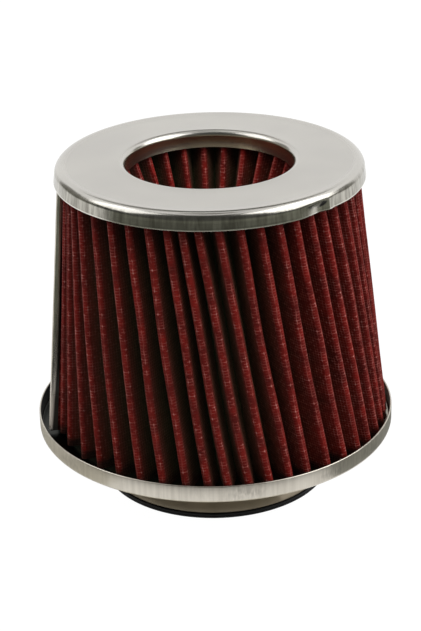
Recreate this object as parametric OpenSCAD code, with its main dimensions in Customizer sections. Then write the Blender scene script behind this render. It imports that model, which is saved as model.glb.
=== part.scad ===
// Performance air filter for a car engine bay.
// An open cone of pleated, oiled cotton between a pressed steel cap and a pressed steel pan,
// with a second, inverted cone of pleats under the hole in the cap and a stepped rubber neck.
// The part stands on its neck. Origin: middle of the neck's lower face. +Z runs up to the cap.

/* [Body] */
// Height from the underside of the pan to the face of the cap
body_h = 116; // [95:1:140]
// Height of the neck below the pan, with the rubber lips
neck_h = 23; // [16:1:32]

/* [Cap] */
// Clear diameter of the hole in the cap
cap_hole_d = 68; // [50:1:90]
// Thickness of the cap's sheet
cap_t = 0.6; // [0.4:0.1:1]
// Height of the cap's outer skirt
cap_skirt_h = 7; // [6:0.5:10]
// Radius of the roll between face and skirt
cap_roll_r = 3.4; // [2:0.1:4.5]
// How far the skirt widens from the roll to its lower edge
cap_flare = 0.5; // [0:0.1:1]
// Depth of the collar that lines the hole
collar_h = 7; // [6:0.5:10]
// Radius of the roll between face and collar
collar_roll_r = 2.4; // [1.5:0.1:3]
// Height of the turned-in edge at the foot of the collar
collar_edge_h = 2.3; // [1:0.1:3]
// How far that edge turns in towards the hole
collar_edge_in = 0.5; // [0:0.1:1]
// Compass direction of the dent in the skirt, in degrees
dent_dir = 310.5; // [290:0.5:330]
// Depth of the dent at the skirt's lower edge
dent_depth = 1.5; // [1:0.1:1.5]
// Width of the dent at the skirt's lower edge
dent_w = 15; // [10:1:16]
// How far below the skirt's edge the blow was centred
dent_drop = 3; // [0:0.5:4]

/* [Pan] */
// Outside diameter of the pan
pan_od = 150; // [125:1:190]
// Thickness of the pan's sheet
pan_t = 0.8; // [0.5:0.1:1.2]
// Height of the pan's rim, from its underside
pan_rim_h = 7.5; // [4:0.5:12]
// Outside radius of the bend between floor and rim
pan_bend_r = 1.4; // [1:0.1:2.5]

/* [Neck] */
// Bore of the inner rubber reducer, for the intake pipe
pipe_d = 76; // [60:0.5:92]
// Wall of the inner rubber reducer
inner_sleeve_w = 4; // [2:0.1:6]
// Wall of the outer rubber reducer
outer_sleeve_w = 4.7; // [2:0.1:6]
// Thickness of the steel neck tube
neck_t = 1; // [0.8:0.1:1.1]
// Width of the neck tube's flange inside the pan
flange_w = 5; // [3:0.5:8]
// Thickness of each reducer's lip
lip_t = 1.1; // [0.8:0.1:3]
// How far the lips stand proud of the neck tube
lip_proud = 0.5; // [0.2:0.1:2]
// Chamfer at the mouth of the bore
mouth_chamfer = 0.6; // [0.2:0.1:1]
// Depth of each grip groove round the outside of the inner reducer
groove_d = 0.8; // [0.4:0.1:1.2]
// Height of each grip groove
groove_h = 2.5; // [1.5:0.1:3]

/* [Outer pleats] */
// Number of pleats in the outer cone
pleats = 50; // [36:1:54]
// Depth of the outer pleats, tip to tip
pleat_depth = 13; // [10:0.5:16]
// Thickness of the gauze and its two wire screens
media_t = 1.4; // [0.8:0.1:1.6]
// Outside radius of each fold
fold_r = 1.6; // [1.5:0.05:1.8]
// Turn of the pleats from top to bottom away from the seam, in degrees
lean = 12.5; // [8:0.5:16]
// Number of pleats before the seam that share its smaller turn
lean_blend = 1.5; // [1:0.1:3]
// Number of pleats after the seam that the clip keeps nearly upright
held = 2.6; // [1.5:0.1:3]
// How far the pleats have drifted off even spacing on one side of the seam, in degrees
drift = 3; // [0:0.5:5]
// Share of the round that has drifted
drift_share = 0.4; // [0.3:0.01:0.6]
// How far the cone's foot is pushed off centre, away from the seam
foot_shift = 2.8; // [0:0.1:4]

/* [Inner pleats] */
// Number of pleats in the inverted cone
inner_pleats = 26; // [18:1:28]
// Depth of the inner pleats, tip to tip
inner_depth = 9.5; // [7:0.5:12]
// Height of the inverted cone
inner_h = 50; // [35:1:60]
// How much the inverted cone closes in for each mm down
inner_taper = 0.38; // [0.2:0.01:0.45]
// Thickness of the inner pleats' gauze and wire screens
inner_media_t = 1; // [0.7:0.1:1.1]
// Outside radius of each inner fold
inner_fold_r = 1.2; // [1.1:0.05:1.4]

/* [Seam clip] */
// Compass direction of the seam under the cap, in degrees
seam_top = 185; // [180:1:190]
// Compass direction of the seam at the pan, in degrees
seam_foot = 191.5; // [185:0.5:195]
// Width across the clip
clip_w = 2.6; // [2.2:0.1:3.2]
// Thickness of the clip's sheet
clip_t = 0.4; // [0.3:0.1:0.5]
// Depth of the clip's two flanks
clip_depth = 3.5; // [3:0.5:6]
// How far the clip stands out past the pleats under the cap
clip_proud_top = 1.2; // [0.8:0.1:1.5]
// How far the clip stands out past the pleats at the pan
clip_proud_foot = 4.3; // [1:0.1:4.5]

/* [Inner cone's cap] */
// Thickness of the sheet of the cap that closes the inverted cone
cup_t = 0.6; // [0.4:0.1:1]
// Height of its rim
cup_rim_h = 4; // [3:0.5:6]

/* [Clearances] */
// Gap between the outer pleats and the inside of the cap's skirt
skirt_gap = 1.6; // [1.6:0.1:3]
// Gap between the outer pleats and the pan's rim where the cone sits closest
rim_gap = 1.1; // [0.5:0.1:3]
// Gap between the two cones under the cap
cone_gap = 1.9; // [1:0.1:6]
// Gap between the collar's foot and the inner pleats
collar_gap = 0.4; // [0.3:0.1:2]
// Running clearance between parts that are pushed or bonded together
fit_gap = 0.1; // [0.05:0.05:0.2]
// Thickness of the potting ring under the cap's face
top_bond_t = 4.3; // [3.6:0.1:5]
// Thickness of the adhesive bed under the outer pleats
base_bond_t = 1.3; // [1.2:0.1:3]
// Thickness of the potting inside the inner cone's cap
cup_bond_t = 1.6; // [1:0.1:2.5]
// How far the adhesive bed stops short of the pleats' tips
bond_margin = 2; // [0.5:0.1:4]

/* [Hidden] */

$fn = 144;
// Flat steps round each fold's arc
fold_steps = 4;
// Levels at which the outer pleats are drawn, from foot to top
levels = 3;

// Heights
pan_z = neck_h;
floor_z = pan_z + pan_t;
face_z = pan_z + body_h;
face_under_z = face_z - cap_t;
bond_top_z = face_under_z - fit_gap;
media_top_z = bond_top_z - top_bond_t;
media_foot_z = floor_z + base_bond_t;
media_h = media_top_z - media_foot_z;
collar_foot_z = face_z - collar_h;
skirt_foot_z = face_z - cap_skirt_h;
inner_foot_z = media_top_z - inner_h;
cup_floor_z = inner_foot_z - cup_bond_t;

// Radii under the cap, from the hole outwards
hole_r = cap_hole_d / 2;
collar_r = hole_r + cap_t;
inner_tip_top = collar_r + collar_gap + inner_taper * (media_top_z - collar_foot_z);
inner_back_top = inner_tip_top + inner_depth;
valley_top = inner_back_top + cone_gap;
tip_top = valley_top + pleat_depth;
skirt_in_r = tip_top + skirt_gap;
skirt_r = skirt_in_r + cap_t;
skirt_foot_r = skirt_r + cap_flare;
// Ball that leaves a dent of that depth and width in the round of the skirt's edge
dent_ball_r = 1 / (8 * dent_depth / pow(dent_w, 2) - 1 / skirt_foot_r);

// Radii at the foot of each cone
inner_tip_foot = inner_tip_top - inner_taper * inner_h;
inner_back_foot = inner_tip_foot + inner_depth;
cup_in_r = inner_back_foot + inner_taper * (cup_rim_h - cup_bond_t - cup_t) + fit_gap;
rim_in_r = pan_od / 2 - pan_t;
tip_foot = rim_in_r - rim_gap - foot_shift;

// Radii of the neck, from the bore outwards
bore_r = pipe_d / 2;
sleeve_split_r = bore_r + inner_sleeve_w;
neck_in_r = sleeve_split_r + outer_sleeve_w;
neck_r = neck_in_r + neck_t;
lip_r = neck_r + lip_proud;
flange_r = neck_r + flange_w;
neck_foot_z = 2 * lip_t;

// The seam is a straight line between these two points on the clip's outer bend
function polar(r, a) = [r * cos(a), r * sin(a)];
foot_centre = [foot_shift, 0];
seam_top_pt = polar(tip_top + clip_proud_top, seam_top);
seam_foot_pt = foot_centre + polar(tip_foot + clip_proud_foot, seam_foot);
seam_dir = atan2(seam_top_pt.y + seam_foot_pt.y, seam_top_pt.x + seam_foot_pt.x);
clip_slot_r = clip_w / 2 - clip_t;
fin_r = clip_slot_r - fit_gap;
fin_core_r = 0.15;
// Clear of the adhesive bed below and of the potting above
clip_end_gap = 0.4;

// Pleated sheet, drawn as a loop of folds round the axis.
// Each fold is an arc; its partner on the sheet's other face shares the same centre.

// Directions, measured from the fold's own axis, at which a tip's arc runs into its flank
function flank_angle(tip_r, valley_r, half_pitch, mid_r) =
    let (d = polar(valley_r, half_pitch) - [tip_r, 0])
    atan2(d.y, d.x) - acos(2 * mid_r / norm(d));

// Arc of one fold: centre c, direction out of the fold, sweep from before it to after it
function fold_arc(c, dir, before, after, r) =
    [for (i = [0:fold_steps]) c + polar(r, dir - before + (before + after) * i / fold_steps)];

// Loop of a pleated ring, one face of the sheet.
// tip and valley: radii of the fold centres, angles: one direction for each tip,
// r_tip and r_valley: arc radii on this face, seam: points that take the place of tip 0
function pleat_loop(c, angles, tip, valley, mid_r, r_tip, r_valley, seam) =
    let (
        n = len(angles),
        halves = [for (k = [0:n - 1]) (angles[(k + 1) % n] + (k < n - 1 ? 0 : 360) - angles[k]) / 2],
        b = [for (h = halves) flank_angle(tip, valley, h, mid_r)]
    )
    [for (k = [0:n - 1])
        let (before = b[(k + n - 1) % n], half = halves[k])
        each concat(
            k == 0 && len(seam) > 0
                ? seam
                : fold_arc(c + polar(tip, angles[k]), angles[k], before, b[k], r_tip),
            fold_arc(c + polar(valley, angles[k] + half), angles[k] + half + 180,
                half - b[k], half - b[k], r_valley)
        )
    ];

// Turn of pleat k between top and foot: the first ones after the seam are pressed against the
// clip and turn least, and on its other side the turn grows from the seam's own
function turn(k) = k > 0 && k < pleats / 2
    ? lean * (1 - exp(-pow(k / held, 2)))
    : lean - (lean + seam_top - seam_foot) * exp(-min(k, pleats - k) / lean_blend);

// Drift of pleat k off even spacing, none at the seam and past the share that drifted
function shift(k) =
    let (x = k / pleats / drift_share)
    x < 1 ? drift * pow(sin(180 * x), 2) : 0;

// Share of the height, from 0 at the foot to 1 at the top
function share(level) = level / (levels - 1);
function pleat_angles(t) =
    [for (k = [0:pleats - 1]) seam_top + 360 * k / pleats + shift(k) + turn(k) * (1 - t)];

// The two end leaves stand together in the clip: a flat fin of half-width w,
// rounded at its tip and ending where the clip's flanks end
function seam_fin(t, w) =
    let (
        u = polar(1, seam_dir),
        v = polar(1, seam_dir + 90),
        s = seam_foot_pt + (seam_top_pt - seam_foot_pt) * t,
        c = s - u * (clip_t + fit_gap + fin_r),
        root = s - u * (clip_depth + fit_gap)
    )
    concat([root - v * w], fold_arc(c, seam_dir, 90, 90, w), [root + v * w]);

// Triangles between loops a and b of n points each, numbered from those offsets
function band(a, b, n) =
    [for (i = [0:n - 1]) let (j = (i + 1) % n) each [[a + i, b + i, b + j], [a + i, b + j, a + j]]];

// Solid between the sheet's outer and inner faces. outs and ins: lists of loops, foot to top
module pleated_solid(outs, ins, zs) {
    n = len(outs[0]);
    m = len(zs);
    pts = [
        for (l = [0:m - 1]) each [for (p = outs[l]) [p.x, p.y, zs[l]]],
        for (l = [0:m - 1]) each [for (p = ins[l]) [p.x, p.y, zs[l]]]
    ];
    core = m * n;
    faces = [
        for (l = [0:m - 2]) each band(l * n, (l + 1) * n, n),
        for (l = [0:m - 2]) each band(core + (l + 1) * n, core + l * n, n),
        each band(core, 0, n),
        each band((m - 1) * n, core + (m - 1) * n, n)
    ];
    polyhedron(points = pts, faces = faces);
}

// Ball outside the skirt whose near side is the dent's outer face, grown by the given amount
module dent_ball(grow) {
    middle = polar(skirt_foot_r - dent_depth + dent_ball_r, dent_dir);
    translate([middle.x, middle.y, skirt_foot_z - dent_drop]) sphere(dent_ball_r + grow);
}

module cap_outer_form() {
    // Skirt, outer roll, face, inner roll, collar and turned-in edge, filled
    rotate_extrude() {
        polygon([
            [skirt_foot_r, skirt_foot_z], [skirt_r, face_z - cap_roll_r],
            [skirt_r - cap_roll_r, face_z], [hole_r + collar_roll_r, face_z],
            [hole_r, face_z - collar_roll_r], [hole_r, collar_foot_z + collar_edge_h],
            [hole_r - collar_edge_in, collar_foot_z]
        ]);
        translate([skirt_r - cap_roll_r, face_z - cap_roll_r]) circle(cap_roll_r);
        translate([hole_r + collar_roll_r, face_z - collar_roll_r]) circle(collar_roll_r);
    }
}

module cap_channel() {
    // The same form one sheet's thickness further in, open below
    rotate_extrude() {
        polygon([
            [skirt_foot_r - cap_t, skirt_foot_z - 1], [skirt_foot_r - cap_t, skirt_foot_z],
            [skirt_in_r, face_z - cap_roll_r],
            [skirt_r - cap_roll_r, face_under_z], [hole_r + collar_roll_r, face_under_z],
            [collar_r, face_z - collar_roll_r], [collar_r, collar_foot_z + collar_edge_h],
            [collar_r - collar_edge_in, collar_foot_z],
            [collar_r - collar_edge_in, skirt_foot_z - 1]
        ]);
        translate([skirt_r - cap_roll_r, face_z - cap_roll_r]) circle(cap_roll_r - cap_t);
        translate([hole_r + collar_roll_r, face_z - collar_roll_r]) circle(collar_roll_r - cap_t);
    }
}

module top_cap() {
    // Pressed sheet, with the dent's bowl in the same thickness
    color("gainsboro") difference() {
        cap_outer_form();
        difference() {
            cap_channel();
            dent_ball(cap_t);
        }
        dent_ball(0);
    }
}

module top_bond() {
    // Potting that holds both cones in the cap's channel, cut back along the two rolls
    color("dimgray") difference() {
        rotate_extrude() polygon([
            [collar_r + fit_gap, media_top_z], [skirt_in_r - fit_gap, media_top_z],
            [skirt_in_r - fit_gap, face_z - cap_roll_r],
            [skirt_r - cap_roll_r, bond_top_z],
            [hole_r + collar_roll_r, bond_top_z],
            [collar_r + fit_gap, face_z - collar_roll_r]
        ]);
        dent_ball(cap_t + fit_gap);
    }
}

module outer_media() {
    mid_r = fold_r - media_t / 2;
    zs = [for (l = [0:levels - 1]) media_foot_z + media_h * share(l)];
    tips = [for (l = [0:levels - 1]) tip_foot + (tip_top - tip_foot) * share(l) - fold_r];
    valleys = [for (t = tips) t - pleat_depth + 2 * fold_r];
    centres = [for (l = [0:levels - 1]) foot_centre * (1 - share(l))];
    outs = [for (l = [0:levels - 1]) pleat_loop(centres[l], pleat_angles(share(l)), tips[l],
        valleys[l], mid_r, fold_r, fold_r - media_t, seam_fin(share(l), fin_r))];
    ins = [for (l = [0:levels - 1]) pleat_loop(centres[l], pleat_angles(share(l)), tips[l],
        valleys[l], mid_r, fold_r - media_t, fold_r, seam_fin(share(l), fin_core_r))];
    color("firebrick") pleated_solid(outs, ins, zs);
}

module inner_media() {
    mid_r = inner_fold_r - inner_media_t / 2;
    angles = [for (k = [0:inner_pleats - 1]) 360 * k / inner_pleats];
    zs = [inner_foot_z, media_top_z];
    tips = [inner_back_foot - inner_fold_r, inner_back_top - inner_fold_r];
    valleys = [for (t = tips) t - inner_depth + 2 * inner_fold_r];
    outs = [for (l = [0:1]) pleat_loop([0, 0], angles, tips[l], valleys[l], mid_r,
        inner_fold_r, inner_fold_r - inner_media_t, [])];
    ins = [for (l = [0:1]) pleat_loop([0, 0], angles, tips[l], valleys[l], mid_r,
        inner_fold_r - inner_media_t, inner_fold_r, [])];
    color("firebrick") pleated_solid(outs, ins, zs);
}

module seam_clip() {
    foot = [seam_foot_pt.x, seam_foot_pt.y, media_foot_z];
    top = [seam_top_pt.x, seam_top_pt.y, media_top_z];
    run = top - foot;
    across = run.x * cos(seam_dir) + run.y * sin(seam_dir);
    along = run.y * cos(seam_dir) - run.x * sin(seam_dir);
    lean_in = atan2(across, run.z);
    // The flanks' inner corners hang lowest, so the outer bend starts that much higher
    start = clip_end_gap - clip_depth * sin(lean_in);
    color("silver") translate(foot)
        rotate([-asin(along / norm(run)), lean_in, seam_dir])
        translate([0, 0, start]) linear_extrude(norm(run) - start - clip_end_gap)
        difference() {
            union() {
                translate([-clip_w / 2, 0]) circle(clip_w / 2);
                translate([-clip_depth, -clip_w / 2]) square([clip_depth - clip_w / 2, clip_w]);
            }
            translate([-clip_t - clip_slot_r, 0]) circle(clip_slot_r);
            translate([-clip_depth - 1, -clip_slot_r])
                square([clip_depth + 1 - clip_t - clip_slot_r, 2 * clip_slot_r]);
        }
}

module inner_cone_cap() {
    // Shallow pressed cup that closes the foot of the inverted cone
    color("silver") difference() {
        translate([0, 0, cup_floor_z - cup_t]) cylinder(h = cup_rim_h, r = cup_in_r + cup_t);
        translate([0, 0, cup_floor_z]) cylinder(h = cup_rim_h, r = cup_in_r);
    }
}

module inner_bond() {
    color("dimgray") translate([0, 0, cup_floor_z]) cylinder(h = cup_bond_t, r = cup_in_r - fit_gap);
}

module base_bond() {
    // Adhesive bed on the pan's floor, from the neck's flange out under the pleats
    color("dimgray") translate([0, 0, floor_z]) difference() {
        translate([foot_shift, 0, 0]) cylinder(h = base_bond_t, r = tip_foot - bond_margin);
        translate([0, 0, -1]) cylinder(h = base_bond_t + 2, r = flange_r + fit_gap);
    }
}

module base_pan() {
    r = pan_od / 2;
    // Floor, bend and rim with a folded, rounded upper edge, revolved round the neck
    color("gainsboro") rotate_extrude() difference() {
        union() {
            translate([neck_r + fit_gap, pan_z]) square([r - pan_bend_r - neck_r - fit_gap, pan_t]);
            translate([r - pan_bend_r, pan_z + pan_bend_r]) circle(pan_bend_r);
            translate([r - pan_t, pan_z + pan_bend_r]) square([pan_t, pan_rim_h - pan_bend_r - pan_t / 2]);
            translate([r - pan_t / 2, pan_z + pan_rim_h - pan_t / 2]) circle(pan_t / 2);
        }
        translate([r - pan_bend_r, pan_z + pan_bend_r]) circle(pan_bend_r - pan_t);
        translate([r - 2 * pan_bend_r, floor_z]) square([pan_bend_r, 2 * pan_bend_r]);
        translate([r - 2 * pan_bend_r, pan_z + pan_bend_r])
            square([2 * pan_bend_r - pan_t, pan_bend_r]);
    }
}

module neck_tube() {
    // Tube with a flange that lies on the pan's floor
    color("dimgray") rotate_extrude() {
        translate([neck_in_r, neck_foot_z]) square([neck_t, floor_z + neck_t - neck_foot_z]);
        translate([neck_in_r, floor_z]) square([flange_r - neck_in_r, neck_t]);
    }
}

module outer_reducer() {
    // Rubber sleeve in the neck tube, with a lip under the tube's end
    color([0.12, 0.12, 0.12]) rotate_extrude() {
        translate([sleeve_split_r + fit_gap, lip_t])
            square([neck_in_r - sleeve_split_r - 2 * fit_gap, floor_z + neck_t - lip_t]);
        translate([sleeve_split_r + fit_gap, lip_t]) square([lip_r - sleeve_split_r - fit_gap, lip_t]);
    }
}

module inner_reducer() {
    // Rubber sleeve in the outer reducer, grooved outside, with a lip and a chamfered bore
    top_z = floor_z + neck_t;
    run = top_z - 2 * lip_t;
    color([0.08, 0.08, 0.08]) rotate_extrude() difference() {
        union() {
            translate([bore_r, 0]) square([sleeve_split_r - bore_r, top_z]);
            translate([bore_r, 0]) square([lip_r - bore_r, lip_t]);
        }
        polygon([[bore_r - 1, -1], [bore_r + mouth_chamfer + 1, -1], [bore_r, mouth_chamfer], [bore_r - 1, mouth_chamfer]]);
        for (i = [1:3])
            translate([sleeve_split_r - groove_d, 2 * lip_t + run * i / 4 - groove_h / 2])
                square([groove_d + 1, groove_h]);
    }
}

top_cap();
top_bond();
outer_media();
seam_clip();
inner_media();
inner_cone_cap();
inner_bond();
base_bond();
base_pan();
neck_tube();
outer_reducer();
inner_reducer();
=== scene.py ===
import math

import bpy
import numpy as np
from mathutils import Matrix, Vector


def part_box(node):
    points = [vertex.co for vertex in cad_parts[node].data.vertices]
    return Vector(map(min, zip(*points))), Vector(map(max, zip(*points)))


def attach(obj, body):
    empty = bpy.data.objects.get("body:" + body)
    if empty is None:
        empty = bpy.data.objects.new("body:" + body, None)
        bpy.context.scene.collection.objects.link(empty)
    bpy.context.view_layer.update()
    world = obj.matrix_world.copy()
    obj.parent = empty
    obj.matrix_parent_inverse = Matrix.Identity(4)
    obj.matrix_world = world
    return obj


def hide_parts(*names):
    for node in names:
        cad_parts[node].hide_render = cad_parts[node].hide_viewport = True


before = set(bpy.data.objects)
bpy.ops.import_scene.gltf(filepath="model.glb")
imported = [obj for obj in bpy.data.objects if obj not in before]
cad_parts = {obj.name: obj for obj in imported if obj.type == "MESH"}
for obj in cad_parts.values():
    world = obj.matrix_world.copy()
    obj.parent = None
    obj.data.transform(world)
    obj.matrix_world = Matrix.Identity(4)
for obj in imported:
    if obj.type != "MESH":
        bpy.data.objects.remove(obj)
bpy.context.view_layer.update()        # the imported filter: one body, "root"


# Camera: a long lens that looks down on the cap, from the side with the seam at the left edge.
# Three small angles turn it about its own axes, off the middle of the pleats.
camera_lens = 98.05
camera_distance = 0.7131
camera_aim = Vector((0, 0, 0.083))
camera_down = math.radians(23.518)
camera_left = math.radians(0.09)
camera_up = math.radians(-0.996)
camera_roll = math.radians(1.431)

bpy.ops.object.camera_add()
camera = bpy.context.object
camera.name = "camera"
camera.data.lens = camera_lens
away = Vector((0, -math.cos(camera_down), math.sin(camera_down)))
camera.matrix_world = (
    Matrix.Translation(camera_aim + away * camera_distance)
    @ Matrix.Rotation(math.pi / 2 - camera_down, 4, "X")
    @ Matrix.Rotation(camera_left, 4, "Y")
    @ Matrix.Rotation(camera_up, 4, "X")
    @ Matrix.Rotation(-camera_roll, 4, "Z")
)
bpy.context.scene.camera = camera
bpy.context.scene.view_settings.view_transform = "Standard"


# Studio floor and backdrop: white card, seen as plain white by the camera and in gloss.
# The floor keeps a faint shadow under the filter. From below it is clear, and it lets soft light through.
def linear(shade):
    """An sRGB hex colour as the linear RGBA that sockets take"""
    parts = [int(shade[i:i + 2], 16) / 255 for i in (1, 3, 5)]
    return [p / 12.92 if p <= 0.04045 else ((p + 0.055) / 1.055) ** 2.4 for p in parts] + [1]


def add_node(tree, kind, inputs=None, stops=None, **settings):
    """Adds a shader node. Its inputs are values, hex colours, sockets, or nodes for their first output"""
    new = tree.nodes.new("ShaderNode" + kind)
    for name, value in settings.items():
        setattr(new, name, value)
    for key, value in (inputs or {}).items():
        found = new.inputs[key] if isinstance(key, int) else next(
            s for s in new.inputs if s.name == key and s.enabled)
        if isinstance(value, bpy.types.Node):
            value = next(s for s in value.outputs if s.enabled)
        if isinstance(value, bpy.types.NodeSocket):
            tree.links.new(value, found)
        else:
            found.default_value = linear(value) if isinstance(value, str) else value
    for i, (place, shade) in enumerate(stops or []):
        stop = new.color_ramp.elements[i] if i < 2 else new.color_ramp.elements.new(place)
        stop.position = place
        stop.color = linear(shade)
    return new


def new_material(name):
    """A node material with its Principled shader"""
    made = bpy.data.materials.new(name)
    made.use_nodes = True
    return made, made.node_tree, made.node_tree.nodes["Principled BSDF"]


def seen_directly(tree):
    """1 for rays from the camera, from gloss and through glass, and 0 for the light that falls on things"""
    ray = add_node(tree, "LightPath")
    seen = ray.outputs["Is Camera Ray"]
    for kind in ("Is Glossy Ray", "Is Transmission Ray"):
        seen = add_node(tree, "Math", {0: seen, 1: ray.outputs[kind]}, operation="MAXIMUM").outputs[0]
    return seen


sky_light = 0.24
shadow_kept = 0.06
card_glow = 1.05
card_r = 0.9

world = bpy.data.worlds.new("studio")
world.use_nodes = True
bpy.context.scene.world = world
sky = world.node_tree.nodes["Background"]
sky_strength = add_node(world.node_tree, "MapRange", {
    "Value": seen_directly(world.node_tree), "To Min": sky_light, "To Max": 1})
sky.inputs["Color"].default_value = linear("#FFFFFF")
world.node_tree.links.new(sky_strength.outputs[0], sky.inputs["Strength"])

bpy.ops.object.select_all(action="DESELECT")
bpy.ops.mesh.primitive_circle_add(vertices=128, radius=card_r, fill_type="NGON")
floor = bpy.context.object
floor.name = "floor"
white_card, card_tree, card = new_material("white_card")
card_seen = seen_directly(card_tree)
card.inputs["Base Color"].default_value = linear("#FFFFFF")
card.inputs["Roughness"].default_value = 1
card.inputs["Specular IOR Level"].default_value = 0
glow = add_node(card_tree, "Emission", {"Color": "#FFFFFF", "Strength": card_glow})
glow_share = add_node(card_tree, "Math", {0: card_seen, 1: 1 - shadow_kept}, operation="MULTIPLY")
card_mix = add_node(card_tree, "MixShader", {0: glow_share, 1: card.outputs[0], 2: glow})
card_back = add_node(card_tree, "NewGeometry").outputs["Backfacing"]
card_lights = add_node(card_tree, "LightPath").outputs["Is Diffuse Ray"]
card_clear = add_node(card_tree, "Math", {0: card_back, 1: card_lights}, operation="MAXIMUM")
clear_film = add_node(card_tree, "BsdfTransparent")
card_sided = add_node(card_tree, "MixShader", {0: card_clear, 1: card_mix, 2: clear_film})
card_tree.links.new(card_sided.outputs[0], card_tree.nodes["Material Output"].inputs["Surface"])
floor.data.materials.append(white_card)


# Studio light: one softbox overhead, one at each side, and felt in several greys that only gloss sees.
# The felt lies on the table and hangs round the camera's side: polished steel needs dark shapes to reflect.
def add_softbox(name, place, width, depth, watts, in_gloss):
    """A rectangular area lamp that faces the filter, and that metal may reflect or not"""
    bpy.ops.object.light_add(type="AREA", location=place)
    lamp = bpy.context.object
    lamp.name = name
    lamp.data.shape = "RECTANGLE"
    lamp.data.size = width
    lamp.data.size_y = depth
    lamp.data.energy = watts
    lamp.visible_glossy = in_gloss
    lamp.rotation_euler = (camera_aim - Vector(place)).to_track_quat("-Z", "Y").to_euler()


add_softbox("softbox_top", (0, -0.2, 1.3), 1, 1, 10, False)
add_softbox("softbox_left", (-1.08, -0.2, 1.05), 1, 1.1, 6.3, True)
add_softbox("softbox_right", (1.1, -0.3, 1.0), 1.4, 1.4, 16, True)

felts = {}
for felt_name, felt_shade in (
        ("black_felt", "#26272A"), ("mid_felt", "#7A7C72"), ("grey_felt", "#888984"),
        ("light_felt", "#C6C4BB"), ("pale_felt", "#E2E0D6")):
    felts[felt_name], _, felt_shader = new_material(felt_name)
    felt_shader.inputs["Base Color"].default_value = linear(felt_shade)
    felt_shader.inputs["Roughness"].default_value = 1
    felt_shader.inputs["Specular IOR Level"].default_value = 0


def hang_felt(name, felt, inner, outer, open_from=0, open_to=0):
    """A ring of felt between two points (radius, height), open between two directions in degrees"""
    bpy.ops.object.select_all(action="DESELECT")
    bpy.ops.mesh.primitive_circle_add(vertices=90, radius=inner[0], location=(0, 0, inner[1]))
    ring = bpy.context.object
    ring.name = name
    bpy.ops.object.mode_set(mode="EDIT")
    bpy.ops.mesh.extrude_edges_move(TRANSFORM_OT_translate={"value": (0, 0, outer[1] - inner[1])})
    share = outer[0] / inner[0]
    bpy.ops.transform.resize(value=(share, share, 1), center_override=(0, 0, outer[1]))
    bpy.ops.mesh.select_all(action="DESELECT")
    bpy.ops.object.mode_set(mode="OBJECT")
    for face in ring.data.polygons:
        towards = math.degrees(math.atan2(face.center.y, face.center.x)) % 360
        face.select = (towards - open_from) % 360 < (open_to - open_from) % 360
    bpy.ops.object.mode_set(mode="EDIT")
    bpy.ops.mesh.delete(type="FACE")
    bpy.ops.object.mode_set(mode="OBJECT")
    ring.data.materials.append(felts[felt])
    for sense in ("visible_camera", "visible_diffuse", "visible_transmission", "visible_shadow"):
        setattr(ring, sense, False)


hang_felt("felt_table", "mid_felt", (0.29, 0.0005), (2.2, 0.0005), 0, 195)
hang_felt("felt_front", "black_felt", (0.145, 0.0004), (0.29, 0.0004), 0, 195)
hang_felt("felt_right", "grey_felt", (0.09, 0.0003), (0.21, 0.0003), 75, 323)
hang_felt("felt_left", "light_felt", (0.09, 0.0003), (0.16, 0.0003), 224, 150)
hang_felt("felt_under", "pale_felt", (0.05, 0.0004), (0.085, 0.0004), 305, 195)
hang_felt("felt_wall", "grey_felt", (2.2, 0.0005), (2.2, 2.9), 2, 178)
hang_felt("felt_sides", "light_felt", (2.21, 0.0005), (2.21, 1.3), 35, 135)
hang_felt("felt_drape", "mid_felt", (2.2, 2.9), (1.0, 2.5), 2, 178)
hang_felt("felt_ceiling", "pale_felt", (0.01, 2.4), (0.48, 2.4))
hang_felt("felt_back", "grey_felt", (2.0, 1.82), (1.0, 2.38), 102, 78)
hang_felt("felt_back_sides", "pale_felt", (2.02, 1.83), (1.01, 2.4), 125, 55)


# Base pan: a dish pressed from one sheet of tinned steel, with its rim's edge folded over.
# The neck tube and the outer pleats are bonded to its floor. The rim keeps the press's upright marks.
mm = 0.001
smooth_angle = math.radians(40)


def bend(middle_r, middle_z, radius, start, stop, steps):
    """Points along a rounded corner of a turned section, from one direction in degrees to another"""
    turn = np.radians(np.linspace(start, stop, steps + 1))
    return [(middle_r + radius * math.cos(a), middle_z + radius * math.sin(a)) for a in turn]


def turn_section(name, section, steps=288):
    """A ring is added at the section's first point, pulled along the others and closed on itself"""
    bpy.ops.object.select_all(action="DESELECT")
    first_r, first_z = section[0]
    bpy.ops.mesh.primitive_circle_add(vertices=steps, radius=first_r, location=(0, 0, first_z))
    bpy.ops.object.transform_apply(location=True)
    piece = bpy.context.object
    piece.name = name
    bpy.ops.object.mode_set(mode="EDIT")
    for (r, z), (last_r, last_z) in zip(section[1:] + section[:1], section):
        bpy.ops.mesh.extrude_edges_move(TRANSFORM_OT_translate={"value": (0, 0, z - last_z)})
        bpy.ops.transform.resize(value=(r / last_r, r / last_r, 1), center_override=(0, 0, z))
    bpy.ops.mesh.select_all(action="SELECT")
    bpy.ops.mesh.remove_doubles(threshold=0.001 * mm)
    bpy.ops.mesh.delete_loose()
    bpy.ops.mesh.select_all(action="SELECT")
    bpy.ops.mesh.normals_make_consistent(inside=False)
    bpy.ops.object.mode_set(mode="OBJECT")
    return piece


def finish_piece(piece, material, node=None):
    """Gives the piece its finish and puts it on the filter, in place of a CAD node"""
    piece.data.materials.clear()
    piece.data.materials.append(material)
    bpy.ops.object.select_all(action="DESELECT")
    piece.select_set(True)
    bpy.context.view_layer.objects.active = piece
    bpy.ops.object.shade_smooth_by_angle(angle=smooth_angle)
    if node:
        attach(piece, "root")
        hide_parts(node)


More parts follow.
